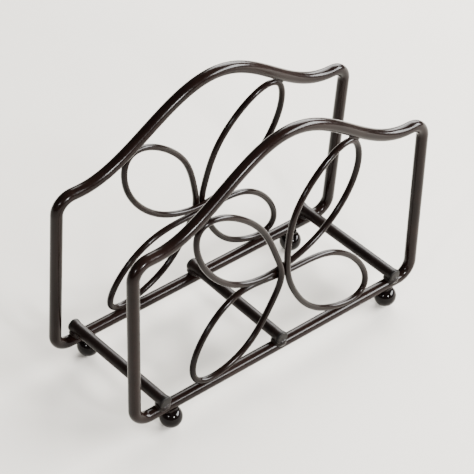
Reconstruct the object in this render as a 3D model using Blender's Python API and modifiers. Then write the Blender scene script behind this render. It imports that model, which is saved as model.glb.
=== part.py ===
"""Napkin dispenser: two welded wire panels on three crossbars and four ball feet.

All dimensions are in millimetres and become metres where the geometry is made.
X runs along the panels, the front panel is on the -Y side, Z is up, and the
origin is on the table under the middle of the object.
"""
import math

import bmesh
import bpy
import numpy as np
from mathutils import Matrix, Vector

MM = 0.001
COLLECTION = "napkin_dispenser"
X_AXIS = Vector((1, 0, 0))

# Wire and clearances
FRAME_WIRE = 5.4            # diameter of the frame and crossbar wire
SCROLL_WIRE = 2.7           # diameter of the scroll wire
GAP = 0.3                   # between touching pieces
FRAME_R = FRAME_WIRE / 2
SCROLL_R = SCROLL_WIRE / 2

# The balls reach further in front than behind, so the middle of the whole object is
# this far in front of the middle between the panels
MIDDLE_SHIFT = 0.75

# Panel frame, measured along the wire's axis
RAIL_LENGTH = 165.0         # between a panel's two uprights
PANEL_SPACING = 59.0        # between the two bottom rails
PANEL_LEAN = math.radians(2.0)   # each panel leans inwards
SHOULDER = 89.0             # top corners above the bottom rail
CROWN_RISE = 31.7           # middle of the top rail above its shoulders
CROWN_HALF_WIDTH = 72.0     # the crown ends this far from its own middle
CROWN_SHIFT = 1.0           # the crown's middle is this far right of the panel's
BOTTOM_CORNER = 8.0
TOP_CORNER = 8.0
HALF_RAIL = RAIL_LENGTH / 2

# Crossbars lie on the bottom rails, not quite square: where each crosses the front
# rail and the back rail
BAR_CROSSINGS = {"left": (-67.5, -70.0), "middle": (0.0, -1.0), "right": (70.0, 67.5)}
BAR_OVERHANG = 3.25         # past each rail's axis
BAR_RISE = FRAME_WIRE + GAP

# Ball feet under the bottom rails, placed from the middle between the panels
FOOT_DIAMETER = 10.8
FOOT_R = FOOT_DIAMETER / 2
FOOT_TOP = 4.5              # from the middle to the flat pressed against the rail
FOOT_BOTTOM = 5.2           # from the middle to the small flat on the table
FOOT_DROP = FRAME_R + FOOT_TOP + GAP
FOOT_POSITIONS = {
    "front_left": (-62.5, -30.0),
    "front_right": (68.0, -29.5),
    "back_left": (-64.5, 28.5),
    "back_right": (58.0, 28.0),
}
RAIL_Z = FOOT_BOTTOM + FOOT_DROP

# Scroll: one closed wire in each panel, bent into four petals round a centre
SCROLL_CENTRE = 43.5        # above the bottom rail
SCROLL_OUT = 0.8            # the scroll lies this far outside its frame's plane
SCROLL_LAYER = SCROLL_R + GAP / 2    # strands pass each other on two layers
PASS_HALF_X = 1.9           # upright strands pass this far from the centre
PASS_HALF_V = 1.7           # level strands pass this far from the centre
TOUCH = FRAME_R + SCROLL_R + GAP
UPPER_PETAL = [(3.5, 13.5), (11.5, 34.5), (33.5, 53.0), (43.5, 51.5), (44.0, 34.0), (26.0, 10.0)]
LOWER_PETAL = [(6.5, -13.5), (21.0, -32.5), (44.0, -39.5), (50.0, -33.0), (43.5, -16.5), (25.0, -3.0)]

# The petals are bent by hand: each is turned up by some degrees and reaches
# somewhat more or less to its side. Its height follows from touching its rail.
PETAL_TURNS = {
    "front": {"upper_left": (-11.0, 0.915), "upper_right": (9.0, 1.12),
              "lower_left": (6.5, 0.945), "lower_right": (-3.0, 1.095)},
    "back": {"upper_left": (-1.5, 0.99), "upper_right": (0.5, 0.97),
             "lower_left": (-2.5, 1.055), "lower_right": (0.0, 0.94)},
}

# Weld beads: radius, and half height along the line through both pieces
BAR_WELD = (3.1, 1.7)
FOOT_WELD = (3.8, 1.5)
SCROLL_WELD = (2.6, 0.9, 1.2)     # half length, half depth and half height
GROOVE_DEPTH = 1.2                # in front of the contact

# Facets
CORNER_STEPS = 6
CROWN_STEP = 5.0
SCROLL_POINTS = 104
FOOT_SEGMENTS = 16
FOOT_RINGS = 10
WELD_SEGMENTS = 14
CUT_SEGMENTS = 24
CUT_LENGTH = 12.0

# Paint
PAINT = (0.020, 0.014, 0.011)
SCROLL_PAINT = (0.024, 0.017, 0.013)
BAR_PAINT = (0.022, 0.016, 0.012)
WELD_PAINT = (0.018, 0.013, 0.010)


def clear_scene():
    for item in list(bpy.data.objects):
        bpy.data.objects.remove(item, do_unlink=True)


def collection(name):
    made = bpy.data.collections.new(name)
    bpy.context.scene.collection.children.link(made)
    return made


def painted_metal(name, colour, roughness):
    material = bpy.data.materials.new(name)
    material.use_nodes = True
    shader = material.node_tree.nodes["Principled BSDF"]
    shader.inputs["Base Color"].default_value = (*colour, 1.0)
    shader.inputs["Roughness"].default_value = roughness
    shader.inputs["Metallic"].default_value = 0.0
    return material


def arc(centre, radius, start, end, steps):
    """Points of an arc, from start to end degrees."""
    angles = np.radians(np.linspace(start, end, steps + 1))
    return [(centre[0] + radius * math.cos(a), centre[1] + radius * math.sin(a)) for a in angles]


def crown(x):
    """Height of the top rail at x from the panel's middle: a raised cosine."""
    offset = min(abs(x - CROWN_SHIFT) / CROWN_HALF_WIDTH, 1.0)
    return SHOULDER + CROWN_RISE * (1 + math.cos(math.pi * offset)) / 2


def frame_outline():
    """Closed outline of a panel frame, clockwise from the bottom left corner."""
    low, high = BOTTOM_CORNER, TOP_CORNER
    outline = arc((-HALF_RAIL + low, low), low, 270, 180, CORNER_STEPS)
    outline += arc((-HALF_RAIL + high, SHOULDER - high), high, 180, 90, CORNER_STEPS)
    steps = round(2 * CROWN_HALF_WIDTH / CROWN_STEP)
    for t in np.linspace(-CROWN_HALF_WIDTH, CROWN_HALF_WIDTH, steps + 1):
        outline.append((CROWN_SHIFT + float(t), crown(CROWN_SHIFT + t)))
    outline += arc((HALF_RAIL - high, SHOULDER - high), high, 90, 0, CORNER_STEPS)
    outline += arc((HALF_RAIL - low, low), low, 0, -90, CORNER_STEPS)
    return outline


def closed_spline(points, count):
    """A smooth closed curve through the points, sampled evenly along its length."""
    knots = np.asarray(points, float)
    ahead = np.roll(knots, -1, axis=0)
    spans = np.linalg.norm((ahead - knots)[:, :2], axis=1) ** 0.5
    before = np.roll(spans, 1)
    number = len(knots)
    system = np.zeros((number, number))
    for i in range(number):
        system[i, i - 1] = spans[i]
        system[i, i] = 2 * (spans[i] + before[i])
        system[i, (i + 1) % number] = before[i]
    slopes_out = (ahead - knots) / spans[:, None]
    slopes_in = np.roll(slopes_out, 1, axis=0)
    tangents = np.linalg.solve(system, 3 * (spans[:, None] * slopes_in + before[:, None] * slopes_out))
    fine = []
    for i in range(number):
        j = (i + 1) % number
        for s in np.linspace(0, 1, 24, endpoint=False):
            start = (1 + 2 * s) * (1 - s) ** 2 * knots[i] + s ** 2 * (3 - 2 * s) * knots[j]
            pull = s * (1 - s) ** 2 * tangents[i] - s ** 2 * (1 - s) * tangents[j]
            fine.append(start + pull * spans[i])
    fine = np.array(fine + fine[:1])
    along = np.concatenate([[0], np.cumsum(np.linalg.norm(np.diff(fine, axis=0), axis=1))])
    places = np.linspace(0, along[-1], count, endpoint=False)
    return np.column_stack([np.interp(places, along, fine[:, k]) for k in range(fine.shape[1])])


def bent_petal(name, turn, reach, height):
    """A petal's points: turned about the centre, reaching sideways, stretched in height."""
    base = UPPER_PETAL if name.startswith("upper") else LOWER_PETAL
    side = -1 if name.endswith("left") else 1
    angle = math.radians(turn)
    points = []
    for x, v in base:
        across = (x * math.cos(angle) - v * math.sin(angle)) * reach
        up = (x * math.sin(angle) + v * math.cos(angle)) * height
        points.append((side * across, up))
    return points


def scroll_curve(turns, heights, count):
    """Points (x, v, layer) of the whole scroll: x and v from the panel's middle and rail."""
    petal = {name: bent_petal(name, *turns[name], heights[name]) for name in turns}
    steps = len(UPPER_PETAL) + 1
    outward = [math.cos(math.pi * k / steps) for k in range(1, steps)]
    inward = outward[::-1]
    knots = [(-PASS_HALF_X, 0, 1)]
    knots += [(x, v, k) for (x, v), k in zip(petal["upper_left"], outward)]
    knots += [(0, PASS_HALF_V, -1)]
    knots += [(x, v, k) for (x, v), k in zip(petal["upper_right"][::-1], inward)]
    knots += [(PASS_HALF_X, 0, 1)]
    knots += [(x, v, k) for (x, v), k in zip(petal["lower_right"], outward)]
    knots += [(0, -PASS_HALF_V, -1)]
    knots += [(x, v, k) for (x, v), k in zip(petal["lower_left"][::-1], inward)]
    curve = closed_spline(knots, count)
    curve[:, 1] += SCROLL_CENTRE
    curve[:, 2] = SCROLL_OUT + SCROLL_LAYER * curve[:, 2]
    return curve


def rail_contact(curve, name):
    """Nearest approach of a petal to its rail, and the two points where it happens."""
    across = np.linspace(-HALF_RAIL + TOP_CORNER, HALF_RAIL - TOP_CORNER, 600)
    if name.startswith("upper"):
        rail = np.column_stack([across, [crown(t) for t in across], np.zeros(600)])
        part = curve[curve[:, 1] > SCROLL_CENTRE]
    else:
        rail = np.column_stack([across, np.zeros(600), np.zeros(600)])
        part = curve[curve[:, 1] < SCROLL_CENTRE]
    side = -1 if name.endswith("left") else 1
    part = part[side * part[:, 0] > PASS_HALF_X]
    distances = np.linalg.norm(part[:, None] - rail[None], axis=2)
    i, j = np.unravel_index(distances.argmin(), distances.shape)
    return distances[i, j], part[i], rail[j]


def settled_heights(turns):
    """Stretch each petal in height until it touches its rail."""
    heights = {name: 1.0 for name in turns}
    for _ in range(12):
        curve = scroll_curve(turns, heights, 900)
        for name in turns:
            distance, tip, _ = rail_contact(curve, name)
            heights[name] *= 1 + (distance - TOUCH) / abs(tip[1] - SCROLL_CENTRE)
    return heights


def panel_point(side, x, v, out=0.0):
    """World position of a point in a panel: side is -1 in front and 1 behind."""
    lean = PANEL_LEAN
    y = PANEL_SPACING / 2 - v * math.sin(lean) + out * math.cos(lean)
    z = RAIL_Z + v * math.cos(lean) + out * math.sin(lean)
    return Vector((x, side * y + MIDDLE_SHIFT, z)) * MM


def wire(name, points, radius, material, group, closed=True, resolution=2):
    """A round wire along the points: a curve object with a bevel."""
    data = bpy.data.curves.new(name, "CURVE")
    data.dimensions = "3D"
    data.bevel_depth = radius * MM
    data.bevel_resolution = resolution
    data.use_fill_caps = not closed
    spline = data.splines.new("POLY")
    spline.points.add(len(points) - 1)
    for place, point in zip(spline.points, points):
        place.co = (*point, 1.0)
    spline.use_cyclic_u = closed
    spline.use_smooth = True
    made = bpy.data.objects.new(name, data)
    data.materials.append(material)
    group.objects.link(made)
    return made


def rod(name, start, end, radius, material, group, segments=12):
    """A straight rod with flat ends, from start to end."""
    axis = end - start
    mesh = bpy.data.meshes.new(name)
    body = bmesh.new()
    bmesh.ops.create_cone(body, cap_ends=True, segments=segments, radius1=radius * MM,
                          radius2=radius * MM, depth=axis.length)
    body.to_mesh(mesh)
    body.free()
    mesh.shade_smooth()
    mesh.set_sharp_from_angle(angle=math.radians(40))
    made = bpy.data.objects.new(name, mesh)
    made.location = (start + end) / 2
    made.rotation_euler = axis.to_track_quat("Z", "Y").to_euler()
    if material:
        mesh.materials.append(material)
    group.objects.link(made)
    return made


def frames(parts, paint):
    outline = frame_outline()
    for name, side in (("front", -1), ("back", 1)):
        points = [panel_point(side, x, v) for x, v in outline]
        wire(f"{name}_frame", points, FRAME_R, paint, parts, resolution=4)


def scrolls(parts, paint):
    """Make both scrolls, and return each petal's contact with its rail."""
    contacts = []
    for name, side in (("front", -1), ("back", 1)):
        turns = PETAL_TURNS[name]
        heights = settled_heights(turns)
        curve = scroll_curve(turns, heights, SCROLL_POINTS)
        points = [panel_point(side, x, v, out) for x, v, out in curve]
        wire(f"{name}_scroll", points, SCROLL_R, paint, parts)
        fine = scroll_curve(turns, heights, 900)
        for petal in turns:
            _, tip, rail = rail_contact(fine, petal)
            crowned = petal.startswith("upper")
            rise = crown(rail[0] + 0.5) - crown(rail[0] - 0.5) if crowned else 0.0
            ends = panel_point(side, 1.0, rise), panel_point(side, 0.0, 0.0)
            contacts.append((f"{name}_{petal}", panel_point(side, *tip),
                             panel_point(side, *rail), ends[0] - ends[1]))
    return contacts


def bar_crossing(name, side):
    """Point of a crossbar's axis right above a bottom rail."""
    x = BAR_CROSSINGS[name][0 if side < 0 else 1]
    return Vector((x, side * PANEL_SPACING / 2 + MIDDLE_SHIFT, RAIL_Z + BAR_RISE)) * MM


def crossbars(parts, paint):
    for name in BAR_CROSSINGS:
        front, back = bar_crossing(name, -1), bar_crossing(name, 1)
        past = (back - front).normalized() * BAR_OVERHANG * MM
        rod(f"crossbar_{name}", front - past, back + past, FRAME_R, paint, parts)


def turned_ball(name, place, clear, group):
    """A ball turned from its profile, with a flat on top and a smaller one below."""
    radius = FOOT_R + clear
    angles = np.linspace(math.acos((FOOT_TOP + clear) / radius), math.acos(-FOOT_BOTTOM / FOOT_R), FOOT_RINGS)
    profile = [(radius * math.sin(a), radius * math.cos(a)) for a in angles]
    mesh = bpy.data.meshes.new(name)
    body = bmesh.new()
    chain = [body.verts.new((0, 0, profile[0][1] * MM))]
    chain += [body.verts.new((r * MM, 0, z * MM)) for r, z in profile]
    chain.append(body.verts.new((0, 0, profile[-1][1] * MM)))
    for pair in zip(chain, chain[1:]):
        body.edges.new(pair)
    body.to_mesh(mesh)
    body.free()
    made = bpy.data.objects.new(name, mesh)
    turn = made.modifiers.new("turned", "SCREW")
    turn.steps = turn.render_steps = FOOT_SEGMENTS
    turn.use_merge_vertices = True
    turn.merge_threshold = 0.00001
    turn.use_smooth_shade = True
    made.location = place
    group.objects.link(made)
    return made


def feet(parts, paint):
    for name, (x, y) in FOOT_POSITIONS.items():
        place = Vector((x, y + MIDDLE_SHIFT, FOOT_BOTTOM)) * MM
        made = turned_ball(f"foot_{name}", place, 0.0, parts)
        made.data.materials.append(paint)


def cut(target, cutter):
    """Cut one object with another."""
    step = target.modifiers.new("cut", "BOOLEAN")
    step.operation = "DIFFERENCE"
    step.object = cutter
    step.solver = "EXACT"


def ellipsoid(name, place, radii, group):
    mesh = bpy.data.meshes.new(name)
    body = bmesh.new()
    bmesh.ops.create_icosphere(body, subdivisions=2, radius=MM)
    bmesh.ops.scale(body, vec=radii, verts=body.verts)
    body.to_mesh(mesh)
    body.free()
    mesh.shade_smooth()
    made = bpy.data.objects.new(name, mesh)
    made.location = place
    group.objects.link(made)
    return made


def clearance(name, piece, cutters):
    """A cutter that clears a wire's or a ball's surface by the gap."""
    place, axis, radius = piece
    if axis is None:
        made = turned_ball(name, place, GAP, cutters)
    else:
        half = axis.normalized() * CUT_LENGTH * MM
        made = rod(name, place - half, place + half, radius + GAP, None, cutters, CUT_SEGMENTS)
    made.hide_render = True
    made.display_type = "WIRE"
    return made


def weld(name, first, second, size, paint, groups):
    """A weld bead at the contact of two pieces: a short drum, cleared for both."""
    parts, cutters = groups
    line = second[0] - first[0]
    if second[1] is None:
        line = Vector((0, 0, line.z))
        middle = first[0] + line.normalized() * (FRAME_R + GAP / 2) * MM
    else:
        middle = first[0] + line * (first[2] / (first[2] + second[2]))
    reach = line.normalized() * size[1] * MM
    bead = rod(name, middle - reach, middle + reach, size[0], paint, parts, WELD_SEGMENTS)
    cut(bead, clearance(f"cut_{name}_first", first, cutters))
    cut(bead, clearance(f"cut_{name}_second", second, cutters))


def bar_welds(paint, groups):
    for name in BAR_CROSSINGS:
        run = bar_crossing(name, 1) - bar_crossing(name, -1)
        for panel, side in (("front", -1), ("back", 1)):
            bar = bar_crossing(name, side)
            rail = bar - Vector((0, 0, BAR_RISE)) * MM
            weld(f"weld_{panel}_rail_{name}_bar", (rail, X_AXIS, FRAME_R), (bar, run, FRAME_R),
                 BAR_WELD, paint, groups)


def foot_welds(paint, groups):
    for name, (x, y) in FOOT_POSITIONS.items():
        rail = panel_point(math.copysign(1, y), x, 0)
        ball = Vector((x, y + MIDDLE_SHIFT, FOOT_BOTTOM)) * MM
        weld(f"weld_foot_{name}", (rail, X_AXIS, FRAME_R), (ball, None, FOOT_R),
             FOOT_WELD, paint, groups)


def scroll_welds(contacts, paint, groups):
    """A petal runs along its rail where they touch, so its bead lies in the groove in front."""
    parts, cutters = groups
    for name, tip, rail, slope in contacts:
        along = slope.normalized()
        up = (tip - rail).normalized()
        front = up.cross(along)
        if front.y > 0:
            front.negate()
        middle = rail + (tip - rail) * (FRAME_R / (FRAME_R + SCROLL_R))
        turn = Matrix((along, front, along.cross(front))).transposed()
        bead = ellipsoid(f"weld_{name}", middle + front * GROOVE_DEPTH * MM, SCROLL_WELD, parts)
        bead.rotation_euler = turn.to_euler()
        bead.data.materials.append(paint)
        cut(bead, clearance(f"cut_weld_{name}_rail", (rail, slope, FRAME_R), cutters))
        cut(bead, clearance(f"cut_weld_{name}_scroll", (tip, slope, SCROLL_R), cutters))


def main():
    clear_scene()
    parts = collection(COLLECTION)
    cutters = collection("cutters")
    frame_paint = painted_metal("frame_paint", PAINT, 0.35)
    scroll_paint = painted_metal("scroll_paint", SCROLL_PAINT, 0.35)
    bar_paint = painted_metal("crossbar_paint", BAR_PAINT, 0.45)
    foot_paint = painted_metal("foot_paint", PAINT, 0.28)
    weld_paint = painted_metal("weld_paint", WELD_PAINT, 0.5)
    frames(parts, frame_paint)
    contacts = scrolls(parts, scroll_paint)
    crossbars(parts, bar_paint)
    feet(parts, foot_paint)
    bar_welds(weld_paint, (parts, cutters))
    foot_welds(weld_paint, (parts, cutters))
    scroll_welds(contacts, weld_paint, (parts, cutters))


main()
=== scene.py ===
import math

import bmesh
import bpy
import numpy as np
from mathutils import Matrix, Vector


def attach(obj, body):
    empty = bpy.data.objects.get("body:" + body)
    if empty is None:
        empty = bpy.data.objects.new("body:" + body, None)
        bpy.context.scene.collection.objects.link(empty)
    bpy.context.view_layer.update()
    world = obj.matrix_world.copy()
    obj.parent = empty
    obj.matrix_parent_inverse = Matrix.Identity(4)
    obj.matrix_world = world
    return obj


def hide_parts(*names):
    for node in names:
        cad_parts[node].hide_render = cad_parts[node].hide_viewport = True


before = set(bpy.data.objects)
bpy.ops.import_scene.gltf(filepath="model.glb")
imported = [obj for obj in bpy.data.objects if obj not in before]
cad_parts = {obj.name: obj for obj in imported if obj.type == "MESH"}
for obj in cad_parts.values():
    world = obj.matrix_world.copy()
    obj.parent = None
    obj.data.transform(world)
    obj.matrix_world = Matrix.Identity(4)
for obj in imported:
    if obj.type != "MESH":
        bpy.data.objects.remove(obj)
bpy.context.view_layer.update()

# Dimensions in millimetres, the same as the CAD part's
MM = 0.001
PANELS = {"front": -1, "back": 1}      # the side of the middle that each panel is on
MIDDLE_SHIFT = 0.75
FRAME_R = 2.7
SCROLL_R = 1.35
GAP = 0.3
RAIL_LENGTH = 165.0
HALF_RAIL = RAIL_LENGTH / 2
PANEL_SPACING = 59.0
PANEL_LEAN = math.radians(2.0)
SHOULDER = 89.0
CROWN_RISE = 31.7
CROWN_HALF_WIDTH = 72.0
CROWN_SHIFT = 1.0
CORNER = 8.0
BAR_CROSSINGS = {"left": (-67.5, -70.0), "middle": (0.0, -1.0), "right": (70.0, 67.5)}
BAR_OVERHANG = 3.25
BAR_RISE = 2 * FRAME_R + GAP
FOOT_R = 5.4
FOOT_TOP = 4.5
FOOT_BOTTOM = 5.2
FOOT_POSITIONS = {
    "front_left": (-62.5, -30.0),
    "front_right": (68.0, -29.5),
    "back_left": (-64.5, 28.5),
    "back_right": (58.0, 28.0),
}
RAIL_Z = FOOT_BOTTOM + FOOT_TOP + GAP + FRAME_R
SCROLL_CENTRE = 43.5
SCROLL_OUT = 0.8
SCROLL_LAYER = SCROLL_R + GAP / 2
PASS_HALF_X = 1.9
PASS_HALF_V = 1.7
TOUCH = FRAME_R + SCROLL_R + GAP
UPPER_PETAL = [(3.5, 13.5), (11.5, 34.5), (33.5, 53.0), (43.5, 51.5), (44.0, 34.0), (26.0, 10.0)]
LOWER_PETAL = [(6.5, -13.5), (21.0, -32.5), (44.0, -39.5), (50.0, -33.0), (43.5, -16.5), (25.0, -3.0)]
# each petal's turn in degrees and its sideways reach
PETAL_TURNS = {
    "front": {"upper_left": (-11.0, 0.915), "upper_right": (9.0, 1.12),
              "lower_left": (6.5, 0.945), "lower_right": (-3.0, 1.095)},
    "back": {"upper_left": (-1.5, 0.99), "upper_right": (0.5, 0.97),
             "lower_left": (-2.5, 1.055), "lower_right": (0.0, 0.94)},
}

# What the looks add to the CAD part, in millimetres
PAINT = 0.15                 # thickness of the baked paint over the bare wires
SKIN = 0.006                 # the balls stay this far inside the CAD box
BAR_EDGE = 1.0               # rounding of a crossbar's ends
BAR_SWELL = 0.45             # how far a crossbar's sheared ends are upset
BAR_SWELL_LENGTH = 3.8
BAR_DULL_END = 1.6           # length of the duller paint at a crossbar's ends

# Welds: half sizes of a bead on the crossbars, and how far the fillets elsewhere
# reach along and across the first wire
BEAD = (3.6, 3.5, 3.0)
BEAD_SHIFT = 0.5             # a bead sits this far outside its crossing
FOOT_FILLET = (3.6, 2.35)
SCROLL_FILLET = (3.6, 1.12)
FOOT_FULLNESS = 0.3          # 0 is a concave fillet, 1 a full one
SCROLL_FULLNESS = 0.2
BEAD_WAVE = 0.05             # unevenness of a bead or fillet, as a share of its size
FILLET_WAVE = 0.06
RIPPLE = 0.03                # a finer unevenness on top
MOST_SWELL = 1.0547          # the most that unevenness may widen a fillet
MOST_ACROSS = 0.95           # share of its reach across that a fillet may fill
MOST_BACK = 0.75             # share of its reach that a fillet may be hollowed
TUCK_OUT = 0.03              # a fillet's rims go this much further out,
TUCK_IN = 0.05               # and this far into the surfaces
PETAL_BEND = 0.035           # a petal leaves its rail by this times the distance squared
SLOPE_STEP = 0.01            # distance over which a surface's slope is taken
LEAST_SLOPE = 1e-3           # these two keep divisions finite
LEAST_SINE = 1e-6
LEAST_SQUARE = 0.01          # keeps square roots real past the edge of a wire or ball

# Fineness of the curves
CORNER_STEPS = 24
CROWN_POINTS = 146
SPLINE_STEPS = 24
SCROLL_POINTS = 620
CONTACT_POINTS = 900
RAIL_SAMPLES = 600
SETTLING_ROUNDS = 12
FRAME_SIDES = 40
SCROLL_SIDES = 28
BAR_SIDES = 48
BAR_END_STEPS = 12
BALL_SIDES = (64, 40)
BEAD_SIDES = (48, 32)
FILLET_STEPS = 64
FILLET_ARC = 10
SHARP_FILLET = 50            # degrees between faces from which an edge is sharp
SHARP_BAR = 35

# Paint: the scale, detail and roughness of its noises, and how they show
SPECULAR = 0.12
BROAD_NOISE = (55, 4, 0.6)
FINE_NOISE = (900, 6, 0.65)
SPECK_NOISE = (2600, 2, 0.5)
COLOUR_SPREAD = (0.35, 0.68)
WORN_SPREAD = (0.62, 0.74)
WORN_STRENGTH = 0.20
WORN_GAIN = 2.2
WORN_LIFT = 0.003
GLOSS_NOISE = (0.3, 0.7)
GLOSS_SPREAD = (-0.04, 0.07)
SPECK_HEIGHT = 0.25
RELIEF_DISTANCE = 0.0002

# The setting, in metres and degrees
FLOOR_SIZE = 6.0
FLOOR_COLOUR = (0.65, 0.622, 0.568)
FLOOR_ROUGHNESS = 0.85
LIGHT_TARGET = (0, 0, 0.05)
SKY_COLOUR = (1.0, 0.99, 0.97)
SKY_STRENGTH = 0.25
CAMERA_LENS = 156.64
CAMERA_PLACE = (-0.47151, -0.51954, 0.66745)
CAMERA_TURN = (48.939, -2.568, -39.808)


# ---- curves ----

def arc(centre, radius, start, end, steps):
    """Points of an arc, from start to end degrees."""
    angles = np.radians(np.linspace(start, end, steps + 1))
    return [(centre[0] + radius * math.cos(a), centre[1] + radius * math.sin(a)) for a in angles]


def crown(x):
    """Height of the top rail at x from the panel's middle: a raised cosine."""
    offset = min(abs(x - CROWN_SHIFT) / CROWN_HALF_WIDTH, 1.0)
    return SHOULDER + CROWN_RISE * (1 + math.cos(math.pi * offset)) / 2


def frame_outline():
    """Closed outline of a panel frame, clockwise from the bottom left corner."""
    left, right = -HALF_RAIL + CORNER, HALF_RAIL - CORNER
    outline = arc((left, CORNER), CORNER, 270, 180, CORNER_STEPS)
    outline += arc((left, SHOULDER - CORNER), CORNER, 180, 90, CORNER_STEPS)
    for t in np.linspace(-CROWN_HALF_WIDTH, CROWN_HALF_WIDTH, CROWN_POINTS):
        outline.append((CROWN_SHIFT + float(t), crown(CROWN_SHIFT + t)))
    outline += arc((right, SHOULDER - CORNER), CORNER, 90, 0, CORNER_STEPS)
    outline += arc((right, CORNER), CORNER, 0, -90, CORNER_STEPS)
    return outline


def closed_spline(points, count):
    """A smooth closed curve through the points, sampled evenly along its length."""
    knots = np.asarray(points, float)
    ahead = np.roll(knots, -1, axis=0)
    spans = np.linalg.norm((ahead - knots)[:, :2], axis=1) ** 0.5
    before = np.roll(spans, 1)
    number = len(knots)
    system = np.zeros((number, number))
    for i in range(number):
        system[i, i - 1] = spans[i]
        system[i, i] = 2 * (spans[i] + before[i])
        system[i, (i + 1) % number] = before[i]
    slopes_out = (ahead - knots) / spans[:, None]
    slopes_in = np.roll(slopes_out, 1, axis=0)
    tangents = np.linalg.solve(system, 3 * (spans[:, None] * slopes_in + before[:, None] * slopes_out))
    fine = []
    for i in range(number):
        j = (i + 1) % number
        for s in np.linspace(0, 1, SPLINE_STEPS, endpoint=False):
            start = (1 + 2 * s) * (1 - s) ** 2 * knots[i] + s ** 2 * (3 - 2 * s) * knots[j]
            pull = s * (1 - s) ** 2 * tangents[i] - s ** 2 * (1 - s) * tangents[j]
            fine.append(start + pull * spans[i])
    fine = np.array(fine + fine[:1])
    along = np.concatenate([[0], np.cumsum(np.linalg.norm(np.diff(fine, axis=0), axis=1))])
    places = np.linspace(0, along[-1], count, endpoint=False)
    return np.column_stack([np.interp(places, along, fine[:, k]) for k in range(fine.shape[1])])


def bent_petal(name, turn, reach, height):
    """A petal's points: turned about the centre, reaching sideways, stretched in height."""
    base = UPPER_PETAL if name.startswith("upper") else LOWER_PETAL
    side = -1 if name.endswith("left") else 1
    angle = math.radians(turn)
    points = []
    for x, v in base:
        across = (x * math.cos(angle) - v * math.sin(angle)) * reach
        up = (x * math.sin(angle) + v * math.cos(angle)) * height
        points.append((side * across, up))
    return points


def scroll_curve(turns, heights, count):
    """Points (x, v, out) of the whole scroll: x and v from the panel's middle and rail."""
    steps = len(UPPER_PETAL) + 1
    layers = [math.cos(math.pi * k / steps) for k in range(1, steps)]
    # the passing point before each petal, and which way the wire runs round that petal
    route = (((-PASS_HALF_X, 0, 1), "upper_left", 1), ((0, PASS_HALF_V, -1), "upper_right", -1),
             ((PASS_HALF_X, 0, 1), "lower_right", 1), ((0, -PASS_HALF_V, -1), "lower_left", -1))
    knots = []
    for passing, name, way in route:
        petal = bent_petal(name, *turns[name], heights[name])
        knots.append(passing)
        knots += [(x, v, k) for (x, v), k in zip(petal[::way], layers[::way])]
    curve = closed_spline(knots, count)
    curve[:, 1] += SCROLL_CENTRE
    curve[:, 2] = SCROLL_OUT + SCROLL_LAYER * curve[:, 2]
    return curve


def rail_contact(curve, name):
    """Nearest approach of a petal to its rail, and the two points where it happens."""
    across = np.linspace(-HALF_RAIL + CORNER, HALF_RAIL - CORNER, RAIL_SAMPLES)
    level = np.zeros(RAIL_SAMPLES)
    if name.startswith("upper"):
        rail = np.column_stack([across, [crown(t) for t in across], level])
        part = curve[curve[:, 1] > SCROLL_CENTRE]
    else:
        rail = np.column_stack([across, level, level])
        part = curve[curve[:, 1] < SCROLL_CENTRE]
    side = -1 if name.endswith("left") else 1
    part = part[side * part[:, 0] > PASS_HALF_X]
    distances = np.linalg.norm(part[:, None] - rail[None], axis=2)
    i, j = np.unravel_index(distances.argmin(), distances.shape)
    return distances[i, j], part[i], rail[j]


def settled_heights(turns):
    """Stretch each petal in height until it touches its rail."""
    heights = {name: 1.0 for name in turns}
    for _ in range(SETTLING_ROUNDS):
        curve = scroll_curve(turns, heights, CONTACT_POINTS)
        for name in turns:
            distance, tip, _ = rail_contact(curve, name)
            heights[name] *= 1 + (distance - TOUCH) / abs(tip[1] - SCROLL_CENTRE)
    return heights


def panel_point(side, x, v, out=0.0):
    """World position of a point in a panel: side is -1 in front and 1 behind."""
    y = PANEL_SPACING / 2 - v * math.sin(PANEL_LEAN) + out * math.cos(PANEL_LEAN)
    z = RAIL_Z + v * math.cos(PANEL_LEAN) + out * math.sin(PANEL_LEAN)
    return Vector((x, side * y + MIDDLE_SHIFT, z)) * MM


def bar_crossing(name, side):
    """World position on a crossbar's axis, right above a bottom rail."""
    x = BAR_CROSSINGS[name][0 if side < 0 else 1]
    return Vector((x, side * PANEL_SPACING / 2 + MIDDLE_SHIFT, RAIL_Z + BAR_RISE)) * MM


# ---- meshes ----

def add(name, mesh, node, slot, *materials):
    """Put a mesh in the scene in place of a CAD node, with its materials in their order."""
    made = bpy.data.objects.new(name, mesh)
    bpy.context.scene.collection.objects.link(made)
    for material in materials:
        mesh.materials.append(material)
    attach(made, "root")
    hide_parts(node)


def smooth_mesh(name, body, sharp=None):
    """Turn a body into a smooth mesh, with sharp edges from a given angle in degrees."""
    bmesh.ops.recalc_face_normals(body, faces=body.faces)
    mesh = bpy.data.meshes.new(name)
    body.to_mesh(mesh)
    body.free()
    mesh.shade_smooth()
    if sharp is not None:
        mesh.set_sharp_from_angle(angle=math.radians(sharp))
    return mesh


def join_rings(body, here, there):
    """A band of faces between two rings of vertices."""
    for k in range(len(here)):
        m = (k + 1) % len(here)
        body.faces.new((here[k], here[m], there[m], there[k]))


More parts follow.
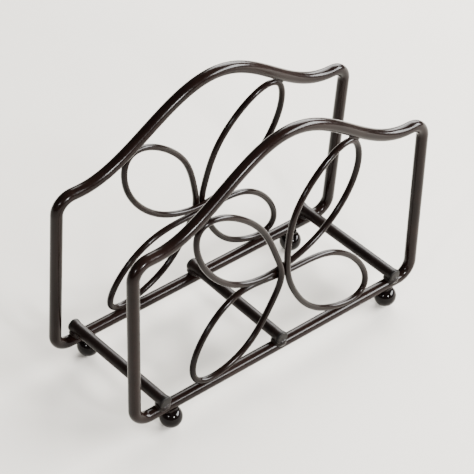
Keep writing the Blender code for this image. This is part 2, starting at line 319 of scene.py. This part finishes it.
def closed_wire(name, points, radius, sides):
    """A round wire along a closed line of points."""
    line = np.array([tuple(p) for p in points])
    ahead = np.roll(line, -1, axis=0) - np.roll(line, 1, axis=0)
    tangents = ahead / np.linalg.norm(ahead, axis=1)[:, None]
    # a panel is nearly upright, so sections laid out from the y axis keep the wire from twisting
    normal = np.array([0.0, 1.0, 0.0])
    first = normal - tangents * (tangents @ normal)[:, None]
    first /= np.linalg.norm(first, axis=1)[:, None]
    second = np.cross(tangents, first)
    body = bmesh.new()
    rings = []
    for place, across, up in zip(line, first, second):
        ring = []
        for k in range(sides):
            angle = 2 * math.pi * k / sides
            offset = radius * MM * (math.cos(angle) * across + math.sin(angle) * up)
            ring.append(body.verts.new(place + offset))
        rings.append(ring)
    for here, there in zip(rings, rings[1:] + rings[:1]):
        join_rings(body, here, there)
    return smooth_mesh(name, body)


def cut_rod(name, start, end, radius):
    """A straight rod with upset, rounded ends: the second material is on the ends."""
    axis = end - start
    half = axis.length / 2
    middle = (start + end) / 2
    sections = []
    for step in range(BAR_END_STEPS + 1):
        inward = BAR_SWELL_LENGTH * (step / BAR_END_STEPS) ** 2
        swell = BAR_SWELL * (1 + math.cos(math.pi * inward / BAR_SWELL_LENGTH)) / 2
        rim = max(0.0, 1 - inward / BAR_EDGE)
        size = radius + swell - BAR_EDGE * (1 - math.sqrt(1 - rim ** 2))
        sections.append((size * MM, inward * MM - half))
    sections += [(size, -z) for size, z in reversed(sections)]
    place = Matrix.Translation(middle) @ axis.to_track_quat("Z", "Y").to_matrix().to_4x4()
    turns = np.linspace(0, 2 * math.pi, BAR_SIDES, endpoint=False)
    body = bmesh.new()
    rings = []
    for size, z in sections:
        points = [Vector((size * math.cos(a), size * math.sin(a), z)) for a in turns]
        rings.append([body.verts.new(place @ point) for point in points])
    for here, there in zip(rings, rings[1:]):
        join_rings(body, here, there)
    for face in body.faces:
        distance = (face.calc_center_median() - middle).length
        face.material_index = int(distance > half - BAR_DULL_END * MM)
    for ring in (rings[0][::-1], rings[-1]):
        face = body.faces.new(ring)
        face.material_index = 1
    return smooth_mesh(name, body, SHARP_BAR)


def ball(name, centre):
    """A foot's ball, with a flat underneath and another on top."""
    around, upward = BALL_SIDES
    body = bmesh.new()
    bmesh.ops.create_uvsphere(body, u_segments=around, v_segments=upward, radius=(FOOT_R - SKIN) * MM)
    for vert in body.verts:
        vert.co.z = min(max(vert.co.z, -FOOT_BOTTOM * MM), FOOT_TOP * MM)
    bmesh.ops.translate(body, vec=centre, verts=body.verts)
    return smooth_mesh(name, body)


def bead(name, middle):
    """A full weld bead between two crossing wires: an uneven ellipsoid that fills the corners."""
    around, upward = BEAD_SIDES
    body = bmesh.new()
    bmesh.ops.create_uvsphere(body, u_segments=around, v_segments=upward, radius=1.0)
    for vert in body.verts:
        x, y, z = vert.co
        # a slow and a fast wave that run aslant, so no two sides of a bead match
        wave = BEAD_WAVE * math.sin(3.1 * x + 2.3 * y + len(name))
        swell = 1 + wave + RIPPLE * math.sin(6.7 * y - 4.9 * x + 5.3 * z)
        vert.co = middle + Vector((x * BEAD[0], y * BEAD[1], z * BEAD[2])) * swell * MM
    return smooth_mesh(name, body)


def cylinder_rise(radius, bend=0.0):
    """How far a wire along x falls away from its contact, at (x, y); bend curves it along x."""
    def rise(x, y):
        return radius - math.sqrt(max(radius ** 2 - y ** 2, LEAST_SQUARE)) + bend * x ** 2
    return rise


def ball_rise(radius, top):
    """The same for a ball with a flat on top."""
    def rise(x, y):
        return max(0.0, top - math.sqrt(max(radius ** 2 - x * x - y * y, LEAST_SQUARE)))
    return rise


def fillet_profile(reach, low, high, fullness):
    """Points (r, z) of a fillet's outside, from the surface low(r) to the surface high(r)."""
    low_slope = (low(reach) - low(reach - SLOPE_STEP)) / SLOPE_STEP
    high_slope = (high(reach) - high(reach - SLOPE_STEP)) / SLOPE_STEP
    # the tangents of the two surfaces meet this far back, where a concave fillet bends
    back = (high(reach) - low(reach)) / max(high_slope - low_slope, LEAST_SLOPE)
    back = min(back, MOST_BACK * reach) * (1 - fullness)
    corner = (reach - back, (low(reach) - low_slope * back + high(reach) - high_slope * back) / 2)
    start = (reach + TUCK_OUT, low(reach) - TUCK_IN)
    end = (reach + TUCK_OUT, high(reach) + TUCK_IN)
    profile = []
    for s in np.linspace(0, 1, FILLET_ARC + 1):
        profile.append([(1 - s) ** 2 * a + 2 * s * (1 - s) * b + s ** 2 * c
                        for a, b, c in zip(start, corner, end)])
    return profile


def fillet(name, middle, along, up, lower, upper, reach, fullness):
    """A weld fillet round a contact, between the lower surface and the upper one."""
    along = along.normalized()
    up = (up - along * up.dot(along)).normalized()
    across = up.cross(along)
    body = bmesh.new()
    rings = []
    for i in range(FILLET_STEPS):
        angle = 2 * math.pi * i / FILLET_STEPS
        swell = 1 + FILLET_WAVE * math.sin(3 * angle + len(name)) + RIPPLE * math.sin(7 * angle)
        x, y = reach[0] * math.cos(angle), reach[1] * math.sin(angle)
        even = math.hypot(x, y)
        dx, dy = x / even, y / even
        widest = MOST_ACROSS * reach[1] / max(abs(dy), LEAST_SINE)

        def low(r):
            return -GAP / 2 - lower(r * dx, r * dy)

        def high(r):
            return GAP / 2 + upper(r * dx, r * dy)

        ring = []
        for r, z in fillet_profile(min(even * swell, widest, even * MOST_SWELL), low, high, fullness):
            ring.append(body.verts.new(middle + (along * r * dx + across * r * dy + up * z) * MM))
        rings.append(ring)
    for here, there in zip(rings, rings[1:] + rings[:1]):
        for k in range(FILLET_ARC):
            body.faces.new((here[k], there[k], there[k + 1], here[k + 1]))
        # the inner side closes the band behind the contact
        body.faces.new((here[0], here[FILLET_ARC], there[FILLET_ARC], there[0]))
    return smooth_mesh(name, body, SHARP_FILLET)


# ---- materials ----

def painted_metal(name, dark, light, roughness, bump):
    """Baked dark paint on wire: uneven colour, uneven gloss, orange peel, worn and dusty spots."""
    material = bpy.data.materials.new(name)
    material.use_nodes = True
    tree = material.node_tree
    shader = tree.nodes["Principled BSDF"]
    shader.inputs["Metallic"].default_value = 0.0
    shader.inputs["Specular IOR Level"].default_value = SPECULAR
    shader.inputs["Coat Weight"].default_value = 0.0
    place = tree.nodes.new("ShaderNodeTexCoord")

    def link(source, output, target, socket):
        tree.links.new(source.outputs[output], target.inputs[socket])

    def noise(scale, detail, rough):
        made = tree.nodes.new("ShaderNodeTexNoise")
        made.inputs["Scale"].default_value = scale
        made.inputs["Detail"].default_value = detail
        made.inputs["Roughness"].default_value = rough
        link(place, "Object", made, "Vector")
        return made

    def ramp(source, low, high, spread):
        made = tree.nodes.new("ShaderNodeValToRGB")
        for stop, position, shade in zip(made.color_ramp.elements, spread, (low, high)):
            stop.position = position
            stop.color = (*shade, 1.0)
        link(source, "Fac", made, "Fac")
        return made

    def calculation(operation, value):
        made = tree.nodes.new("ShaderNodeMath")
        made.operation = operation
        made.inputs[1].default_value = value
        return made

    broad = noise(*BROAD_NOISE)
    fine = noise(*FINE_NOISE)
    specks = noise(*SPECK_NOISE)

    colour = ramp(broad, dark, light, COLOUR_SPREAD)
    worn = ramp(fine, (0, 0, 0), (1, 1, 1), WORN_SPREAD)
    strength = calculation("MULTIPLY", WORN_STRENGTH)
    mix = tree.nodes.new("ShaderNodeMix")
    mix.data_type = "RGBA"
    mix.inputs["B"].default_value = (*(min(1.0, c * WORN_GAIN + WORN_LIFT) for c in light), 1.0)
    link(worn, "Color", strength, 0)
    link(strength, "Value", mix, "Factor")
    link(colour, "Color", mix, "A")
    link(mix, "Result", shader, "Base Color")

    gloss = tree.nodes.new("ShaderNodeMapRange")
    gloss.inputs["From Min"].default_value, gloss.inputs["From Max"].default_value = GLOSS_NOISE
    gloss.inputs["To Min"].default_value = roughness + GLOSS_SPREAD[0]
    gloss.inputs["To Max"].default_value = roughness + GLOSS_SPREAD[1]
    link(fine, "Fac", gloss, "Value")
    link(gloss, "Result", shader, "Roughness")

    height = calculation("MULTIPLY_ADD", SPECK_HEIGHT)
    relief = tree.nodes.new("ShaderNodeBump")
    relief.inputs["Strength"].default_value = bump
    relief.inputs["Distance"].default_value = RELIEF_DISTANCE
    link(specks, "Fac", height, 0)
    link(fine, "Fac", height, 2)
    link(height, "Value", relief, "Height")
    link(relief, "Normal", shader, "Normal")
    return material


def plain_paint(name, colour, roughness):
    """One even colour."""
    material = bpy.data.materials.new(name)
    material.use_nodes = True
    shader = material.node_tree.nodes["Principled BSDF"]
    shader.inputs["Base Color"].default_value = (*colour, 1.0)
    shader.inputs["Roughness"].default_value = roughness
    return material


# ---- the object ----

def build_frames(paint):
    """The two thick outer wires."""
    outline = frame_outline()
    for panel, side in PANELS.items():
        name = f"{panel}_frame_wire"
        points = [panel_point(side, x, v) for x, v in outline]
        mesh = closed_wire(name, points, FRAME_R + PAINT, FRAME_SIDES)
        add(name, mesh, f"{panel}_frame", "frame_paint", paint)


def build_scrolls(paint, weld_paint):
    """The two thin four-petal wires, and the fillets where the petals touch the rails."""
    for panel, side in PANELS.items():
        name = f"{panel}_scroll_wire"
        turns = PETAL_TURNS[panel]
        heights = settled_heights(turns)
        curve = scroll_curve(turns, heights, SCROLL_POINTS)
        points = [panel_point(side, x, v, out) for x, v, out in curve]
        mesh = closed_wire(name, points, SCROLL_R + PAINT, SCROLL_SIDES)
        add(name, mesh, f"{panel}_scroll", "scroll_paint", paint)
        fine = scroll_curve(turns, heights, CONTACT_POINTS)
        for petal in turns:
            _, tip, rail = rail_contact(fine, petal)
            build_petal_fillet(panel, petal, tip, rail, weld_paint)


def build_petal_fillet(panel, petal, tip, rail, paint):
    """The fillet between a rail and the petal that touches it."""
    name = f"{panel}_{petal}_fillet"
    side = PANELS[panel]
    slope = crown(rail[0] + 0.5) - crown(rail[0] - 0.5) if petal.startswith("upper") else 0.0
    along = panel_point(side, 1.0, slope) - panel_point(side, 0.0, 0.0)
    low, high = panel_point(side, *rail), panel_point(side, *tip)
    middle = low + (high - low) * (FRAME_R / (FRAME_R + SCROLL_R))
    lower = cylinder_rise(FRAME_R + PAINT)
    upper = cylinder_rise(SCROLL_R + PAINT, PETAL_BEND)
    mesh = fillet(name, middle, along, high - low, lower, upper, SCROLL_FILLET, SCROLL_FULLNESS)
    add(name, mesh, f"weld_{panel}_{petal}", "weld_paint", paint)


def build_crossbars(paint, end_paint, weld_paint):
    """The three rods across the bottom rails, and the six beads that hold them."""
    for bar in BAR_CROSSINGS:
        front, back = bar_crossing(bar, -1), bar_crossing(bar, 1)
        past = (back - front).normalized() * BAR_OVERHANG * MM
        mesh = cut_rod(f"{bar}_crossbar_rod", front - past, back + past, FRAME_R + PAINT)
        add(f"{bar}_crossbar_rod", mesh, f"crossbar_{bar}", "crossbar_paint", paint, end_paint)
        for panel, side in PANELS.items():
            name = f"{panel}_{bar}_bar_bead"
            middle = bar_crossing(bar, side) - Vector((0, 0, BAR_RISE / 2)) * MM
            mesh = bead(name, middle + Vector((0, side * BEAD_SHIFT, 0)) * MM)
            add(name, mesh, f"weld_{panel}_rail_{bar}_bar", "weld_paint", weld_paint)


def build_feet(paint, weld_paint):
    """The four balls, and the fillets between them and the rails."""
    lower, upper = cylinder_rise(FRAME_R + PAINT), ball_rise(FOOT_R, FOOT_TOP)
    for foot, (x, y) in FOOT_POSITIONS.items():
        centre = Vector((x, y + MIDDLE_SHIFT, FOOT_BOTTOM)) * MM
        add(f"{foot}_ball", ball(f"{foot}_ball", centre), f"foot_{foot}", "foot_paint", paint)
        name = f"{foot}_ball_fillet"
        middle = centre + Vector((0, 0, FOOT_TOP + GAP / 2)) * MM
        mesh = fillet(name, middle, Vector((1, 0, 0)), Vector((0, 0, -1)), lower, upper,
                      FOOT_FILLET, FOOT_FULLNESS)
        add(name, mesh, f"weld_foot_{foot}", "weld_paint", weld_paint)


# ---- the setting ----

def build_floor():
    """A plain pale floor."""
    bpy.ops.mesh.primitive_plane_add(size=FLOOR_SIZE, location=(0, 0, 0))
    floor = bpy.context.object
    floor.name = "floor"
    floor.data.materials.append(plain_paint("floor_paint", FLOOR_COLOUR, FLOOR_ROUGHNESS))


def area_light(name, place, size, power, colour=(1, 1, 1)):
    """A rectangular light aimed at the object."""
    data = bpy.data.lights.new(name, "AREA")
    data.shape = "RECTANGLE"
    data.size, data.size_y = size
    data.energy = power
    data.color = colour
    lamp = bpy.data.objects.new(name, data)
    lamp.location = place
    aim = Vector(LIGHT_TARGET) - Vector(place)
    lamp.rotation_euler = aim.to_track_quat("-Z", "Y").to_euler()
    bpy.context.scene.collection.objects.link(lamp)


def build_lights():
    """Two small lamps, a window, a broad light from behind, and a weak sky."""
    area_light("front", (-0.11, -1.34, 0.72), (0.20, 0.20), 30)
    area_light("left", (-1.18, -0.53, 0.82), (0.14, 0.14), 9)
    area_light("window", (1.15, -0.85, 0.72), (1.25, 0.50), 120)
    area_light("back", (1.12, 0.75, 0.87), (1.2, 1.0), 85, (1.0, 0.985, 0.965))
    world = bpy.data.worlds.new("studio")
    world.use_nodes = True
    sky = world.node_tree.nodes["Background"]
    sky.inputs["Color"].default_value = (*SKY_COLOUR, 1.0)
    sky.inputs["Strength"].default_value = SKY_STRENGTH
    bpy.context.scene.world = world


def build_camera():
    """The camera that gives the main view."""
    data = bpy.data.cameras.new("camera")
    data.lens = CAMERA_LENS
    data.sensor_width = 36.0
    data.clip_start = 0.05
    camera = bpy.data.objects.new("camera", data)
    camera.location = CAMERA_PLACE
    camera.rotation_euler = [math.radians(a) for a in CAMERA_TURN]
    bpy.context.scene.collection.objects.link(camera)
    bpy.context.scene.camera = camera


frame_paint = painted_metal("frame_paint_look", dark=(0.0034, 0.0015, 0.0011),
                            light=(0.0066, 0.0033, 0.0025), roughness=0.17, bump=0.010)
scroll_paint = painted_metal("scroll_paint_look", dark=(0.0030, 0.0014, 0.0010),
                             light=(0.0058, 0.0030, 0.0023), roughness=0.15, bump=0.010)
bar_paint = painted_metal("crossbar_paint_look", dark=(0.0036, 0.0018, 0.0014),
                          light=(0.0070, 0.0038, 0.0029), roughness=0.36, bump=0.015)
foot_paint = painted_metal("foot_paint_look", dark=(0.0014, 0.0008, 0.0007),
                           light=(0.0028, 0.0017, 0.0014), roughness=0.07, bump=0.02)
weld_paint = painted_metal("weld_paint_look", dark=(0.0034, 0.0022, 0.0018),
                           light=(0.0075, 0.0050, 0.0042), roughness=0.32, bump=0.06)
end_paint = painted_metal("cut_end_look", dark=(0.0036, 0.0030, 0.0026),
                          light=(0.0080, 0.0068, 0.0060), roughness=0.42, bump=0.10)
build_frames(frame_paint)
build_scrolls(scroll_paint, weld_paint)
build_crossbars(bar_paint, end_paint, weld_paint)
build_feet(foot_paint, weld_paint)
build_floor()
build_lights()
build_camera()
